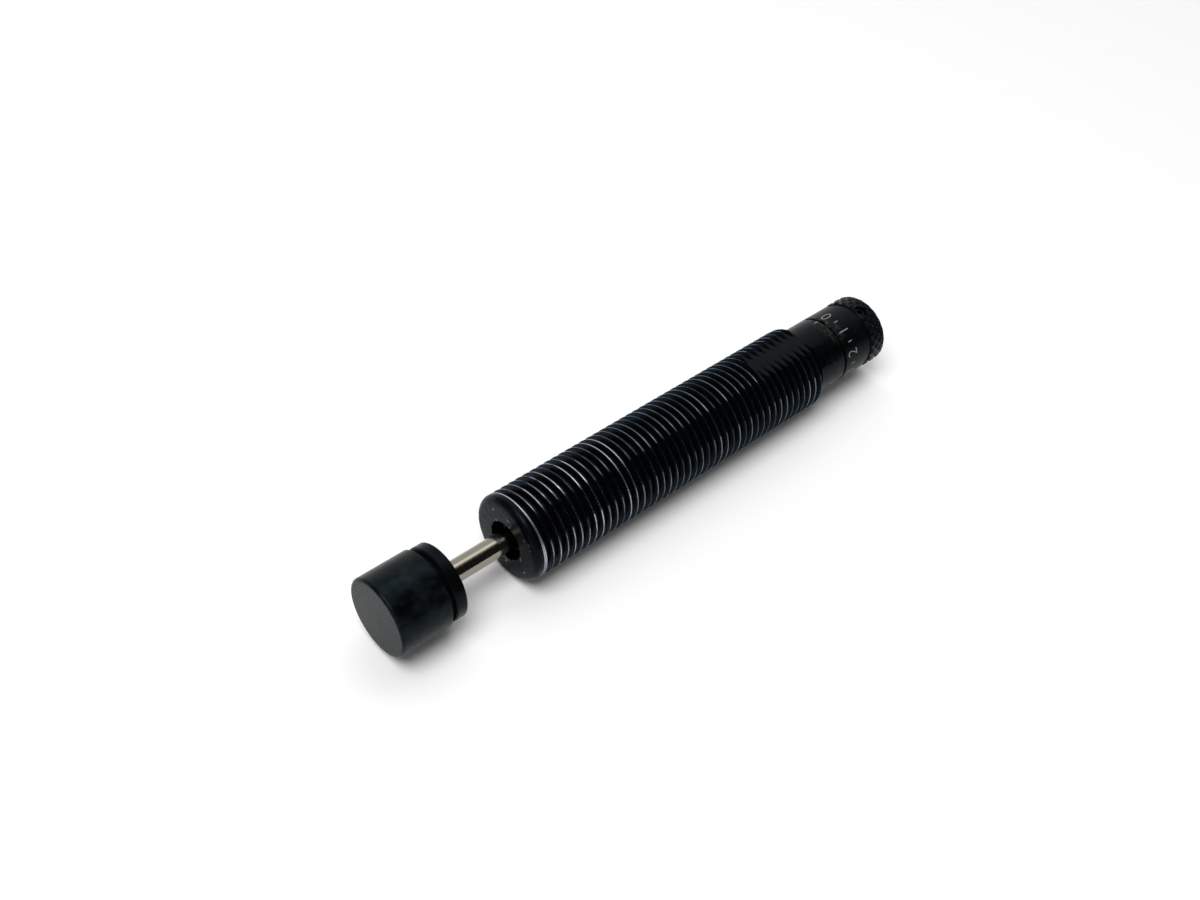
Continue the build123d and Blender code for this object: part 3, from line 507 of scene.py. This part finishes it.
# Adjuster knob
def makeKnob():
    size = {"bandRadius": 6.0, "bandLength": 5.8, "neckRadius": 5.8, "neckLength": 0.8, "chamfer": 0.15,
            "knurlsRound": 22, "knurlDepth": 0.16, "knurlInset": 0.3, "rimInset": 0.1,
            "endWall": 1.25, "screwX": 76.5, "screwAngle": 9.4, "screwHole": 1.02, "steps": 128,
            "sleeveInner": 5, "cavityRadius": 5.2, "cavityReach": 2.4, "hubSpace": 3.2, "wallSpace": 0.2,
            "drillDepth": 6, "drillHeight": 5.2}
    low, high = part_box("adjuster_knob")
    front, rear, grip = low.x / mm, high.x / mm, high.y / mm
    band = front + size["bandLength"]
    gripFront = band + size["neckLength"]
    base = grip - size["knurlDepth"]
    chamfer = size["chamfer"]
    core = turned([(front, 0), (front, size["bandRadius"] - chamfer), (front + chamfer, size["bandRadius"]),
                   (band - chamfer, size["bandRadius"]), (band, size["bandRadius"] - chamfer),
                   (band, size["neckRadius"]), (rear - size["rimInset"], size["neckRadius"]),
                   (rear, size["neckRadius"] - size["rimInset"]), (rear, 0)], size["steps"])
    knob = newPiece("adjusterKnob", core)

    # diamond knurl: a fine grid round the grip, its diagonals cut, each diamond inset and raised
    columns = size["knurlsRound"] * 2
    cell = 2 * math.pi * base / columns
    rows = round((rear - size["rimInset"] - gripFront) / cell)
    cell = (rear - size["rimInset"] - gripFront) / rows
    sleeve = bmesh.new()
    points = [sleeve.verts.new(((gripFront + k * cell) * mm, 0, base * mm)) for k in range(rows + 1)]
    lines = [sleeve.edges.new(pair) for pair in zip(points, points[1:])]
    bmesh.ops.spin(sleeve, geom=points + lines, cent=(0, 0, 0), axis=(1, 0, 0), angle=2 * math.pi,
                   steps=columns, use_merge=True)
    bmesh.ops.remove_doubles(sleeve, verts=sleeve.verts, dist=0.001 * mm)
    bmesh.ops.recalc_face_normals(sleeve, faces=sleeve.faces)

    def isCentre(v):
        turn = round(math.atan2(v.co.y, v.co.z) / (2 * math.pi) * columns)
        row = round((v.co.x / mm - gripFront) / cell)
        return (turn + row) % 2 == 0

    bmesh.ops.connect_verts(sleeve, verts=[v for v in sleeve.verts if not isCentre(v)])
    bmesh.ops.dissolve_verts(sleeve, verts=[v for v in sleeve.verts if isCentre(v)])
    middles = [(f.normal.copy(), f.calc_center_median()) for f in sleeve.faces]
    if sum(normal.y * middle.y + normal.z * middle.z for normal, middle in middles) < 0:
        bmesh.ops.reverse_faces(sleeve, faces=sleeve.faces)
    bmesh.ops.inset_individual(sleeve, faces=sleeve.faces[:], thickness=size["knurlInset"] * mm,
                               depth=size["knurlDepth"] * mm, use_even_offset=True)
    inner = []
    for place in (gripFront, rear - size["rimInset"]):
        grown = bmesh.ops.extrude_edge_only(sleeve, edges=rimAt(sleeve, place))["geom"]
        ring = [v for v in grown if isinstance(v, bmesh.types.BMVert)]
        bmesh.ops.scale(sleeve, vec=(1, size["sleeveInner"] / base, size["sleeveInner"] / base), verts=ring)
        inner += [e for e in grown if isinstance(e, bmesh.types.BMEdge)]
    bmesh.ops.bridge_loops(sleeve, edges=inner)
    bmesh.ops.recalc_face_normals(sleeve, faces=sleeve.faces)
    combine(knob, newPiece("knurlSleeve", sleeve), "UNION")

    # the hub bore, the stop's recess and the driving tongue are taken from the CAD solid
    copy = bmesh.new()
    copy.from_mesh(nodes["adjuster_knob"].data)
    bmesh.ops.remove_doubles(copy, verts=copy.verts, dist=0.001 * mm)
    cavityEnd = rear - size["endWall"] + size["wallSpace"]
    cavity = newPiece("cavity", turned([
        (front - 1, 0), (front - 1, size["cavityRadius"]),
        (front + size["cavityReach"], size["cavityRadius"]), (front + size["cavityReach"], size["hubSpace"]),
        (cavityEnd, size["hubSpace"]), (cavityEnd, 0)], size["steps"]))
    combine(cavity, newPiece("knobCopy", copy), "DIFFERENCE")
    combine(knob, cavity, "DIFFERENCE")

    # hole for the lock screw
    drill = bmesh.new()
    bmesh.ops.create_cone(drill, cap_ends=True, segments=32, radius1=size["screwHole"] * mm,
                          radius2=size["screwHole"] * mm, depth=size["drillDepth"] * mm)
    bmesh.ops.translate(drill, verts=drill.verts, vec=(size["screwX"] * mm, 0, size["drillHeight"] * mm))
    bmesh.ops.rotate(drill, verts=drill.verts, cent=(0, 0, 0),
                     matrix=Matrix.Rotation(math.radians(size["screwAngle"]), 3, "X"))
    combine(knob, newPiece("drill", drill), "DIFFERENCE")
    smoothByAngle(knob, 25)
    knob.data.materials.clear()
    knob.data.materials.append(finishes["black_anodised_knob"])
    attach(knob, "knob")
    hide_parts("adjuster_knob")
    print("knob:", len(knob.data.polygons), "faces")


makeKnob()


# Printed scale
def printMark(name, bm, place, angle, radius, body):
    # lays a flat mark round the axis: its top points to -X, it reads towards falling angle
    ink = {"raised": 0.012, "sunk": 0.01, "longestEdge": 0.3, "rounds": 3}
    bmesh.ops.triangulate(bm, faces=bm.faces)
    for _ in range(ink["rounds"]):
        long = [e for e in bm.edges if e.calc_length() > ink["longestEdge"] * mm]
        bmesh.ops.subdivide_edges(bm, edges=long, cuts=1)
        bmesh.ops.triangulate(bm, faces=bm.faces)
    bmesh.ops.recalc_face_normals(bm, faces=bm.faces)
    grown = bmesh.ops.extrude_face_region(bm, geom=bm.faces[:])["geom"]
    raised = {v for v in grown if isinstance(v, bmesh.types.BMVert)}
    for v in bm.verts:
        height = radius * mm + (ink["raised"] * mm if v in raised else -ink["sunk"] * mm)
        turn = math.radians(angle) - v.co.x / (radius * mm)
        v.co = (place * mm - v.co.y, -height * math.sin(turn), height * math.cos(turn))
    bmesh.ops.recalc_face_normals(bm, faces=bm.faces)
    mark = newPiece(name, bm, finishes["printed_marks"])
    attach(mark, body)


def makeScale():
    scale = {"numeralSize": 3.3, "narrowed": 0.88, "thinned": 0.05, "place": 70.65, "first": -16, "step": 40,
             "highest": 8, "tickWidth": 0.16, "tickLength": 0.9, "lineWidth": 0.18, "lineLength": 0.8,
             "linePlace": 67.85}
    for number in range(scale["highest"] + 1):
        text = bpy.data.curves.new("numeral", "FONT")
        text.body = str(number)
        text.size = scale["numeralSize"] * mm
        text.offset = -scale["thinned"] * mm
        text.align_x = "CENTER"
        text.align_y = "CENTER"
        text.resolution_u = 4
        flat = bpy.data.objects.new("numeral", text)
        bpy.context.scene.collection.objects.link(flat)
        bm = bmesh.new()
        solid = flat.evaluated_get(bpy.context.evaluated_depsgraph_get())
        bm.from_mesh(bpy.data.meshes.new_from_object(solid))
        bmesh.ops.remove_doubles(bm, verts=bm.verts, dist=0.001 * mm)
        bmesh.ops.scale(bm, vec=(scale["narrowed"], 1, 1), verts=bm.verts)
        bpy.data.objects.remove(flat)
        printMark("numeral%d" % number, bm, scale["place"], scale["first"] + scale["step"] * number, 6.0,
                  "knob")
    printedLines = [(scale["first"] + scale["step"] * (k + 0.5), scale["tickWidth"], scale["tickLength"],
                     scale["place"], 6.0, "knob") for k in range(scale["highest"])]
    printedLines.append((scale["first"], scale["lineWidth"], scale["lineLength"], scale["linePlace"], 6.025,
                         "cylinder"))
    for number, (angle, width, length, place, radius, body) in enumerate(printedLines):
        line = bmesh.new()
        bmesh.ops.create_grid(line, x_segments=1, y_segments=4, size=0.5)
        bmesh.ops.scale(line, vec=(width * mm, length * mm, 1), verts=line.verts)
        printMark("tick%d" % number if body == "knob" else "indexLine", line, place, angle, radius, body)
    print("scale printed")


makeScale()


# Stage, light and camera
def makeStage():
    stage = {"floorHeight": -7.14375, "floorSize": 4.0, "floorColour": "#ffffff"}
    bm = bmesh.new()
    bmesh.ops.create_grid(bm, x_segments=1, y_segments=1, size=stage["floorSize"] / 2)
    bmesh.ops.translate(bm, verts=bm.verts, vec=(0, 0, stage["floorHeight"] * mm))
    paper = {"Base Color": stage["floorColour"], "Roughness": 0.9, "Specular IOR Level": 0.1}
    material = startMaterial("whitePaper", paper)[0]
    floor = newPiece("floor", bm, material)


lampAim = Vector((0.03, 0, 0))  # near the middle of the part


def addLamp(name, shape, size, sizeY, place, power):
    lamp = bpy.data.lights.new(name, "AREA")
    lamp.shape = shape
    lamp.size = size
    lamp.size_y = sizeY
    lamp.energy = power
    holder = bpy.data.objects.new(name, lamp)
    holder.location = place
    holder.rotation_mode = "QUATERNION"
    holder.rotation_quaternion = (lampAim - holder.location).to_track_quat("-Z", "Y")
    bpy.context.scene.collection.objects.link(holder)


def makeLight():
    light = {"window": 0.95, "far": 0.02, "near": 0.35, "farSide": (-0.35, 0.25), "nearSide": (0.25, -0.25),
             "keyPlace": (-0.32, -0.06, 0.85), "keySize": 0.62, "keyPower": 5.8,
             "stripPlace": (0.4, 0.24, 0.9), "stripLength": 1.2, "stripWidth": 0.24, "stripPower": 1.15}
    world = bpy.data.worlds.new("studio")
    bpy.context.scene.world = world
    world.use_nodes = True
    tree = world.node_tree
    background = tree.nodes["Background"]
    ways = addNode(tree, "ShaderNodeTexCoord").outputs["Generated"]
    ways = addNode(tree, "ShaderNodeSeparateXYZ", None, {0: ways}).outputs
    level = addNode(tree, "ShaderNodeMapRange", {"From Min": light["farSide"][0],
                                                 "From Max": light["farSide"][1],
                    "To Min": light["far"], "To Max": light["window"]}, {"Value": ways["Y"]},
                    interpolation_type="SMOOTHSTEP").outputs[0]
    level = addNode(tree, "ShaderNodeMapRange", {"From Min": light["nearSide"][0],
                                                 "From Max": light["nearSide"][1],
                    "To Max": light["near"]}, {"Value": ways["X"], "To Min": level},
                    interpolation_type="SMOOTHSTEP").outputs[0]
    tree.links.new(level, background.inputs["Strength"])
    background.inputs["Color"].default_value = (1, 1, 1, 1)
    addLamp("softKey", "DISK", light["keySize"], light["keySize"], light["keyPlace"], light["keyPower"])
    addLamp("softStrip", "RECTANGLE", light["stripLength"], light["stripWidth"], light["stripPlace"],
            light["stripPower"])


def makeCamera():
    view = {"place": (-90.45, -97.03, 156.79), "right": (0.7388, -0.6672, 0.0944),
            "up": (0.4347, 0.5788, 0.6898), "lens": 41.5}
    lens = bpy.data.cameras.new("camera")
    lens.lens = view["lens"]
    lens.sensor_width = 36
    lens.sensor_fit = "HORIZONTAL"
    lens.clip_start = 0.005
    lens.clip_end = 20
    camera = bpy.data.objects.new("camera", lens)
    right, up = Vector(view["right"]).normalized(), Vector(view["up"]).normalized()
    back = right.cross(up).normalized()
    up = back.cross(right)
    turn = Matrix((right, up, back)).transposed().to_4x4()
    camera.matrix_world = Matrix.Translation(Vector(view["place"]) * mm) @ turn
    bpy.context.scene.collection.objects.link(camera)
    bpy.context.scene.camera = camera


makeStage()
makeLight()
makeCamera()
bpy.context.scene.view_settings.view_transform = "Standard"
print("stage, light and camera set")
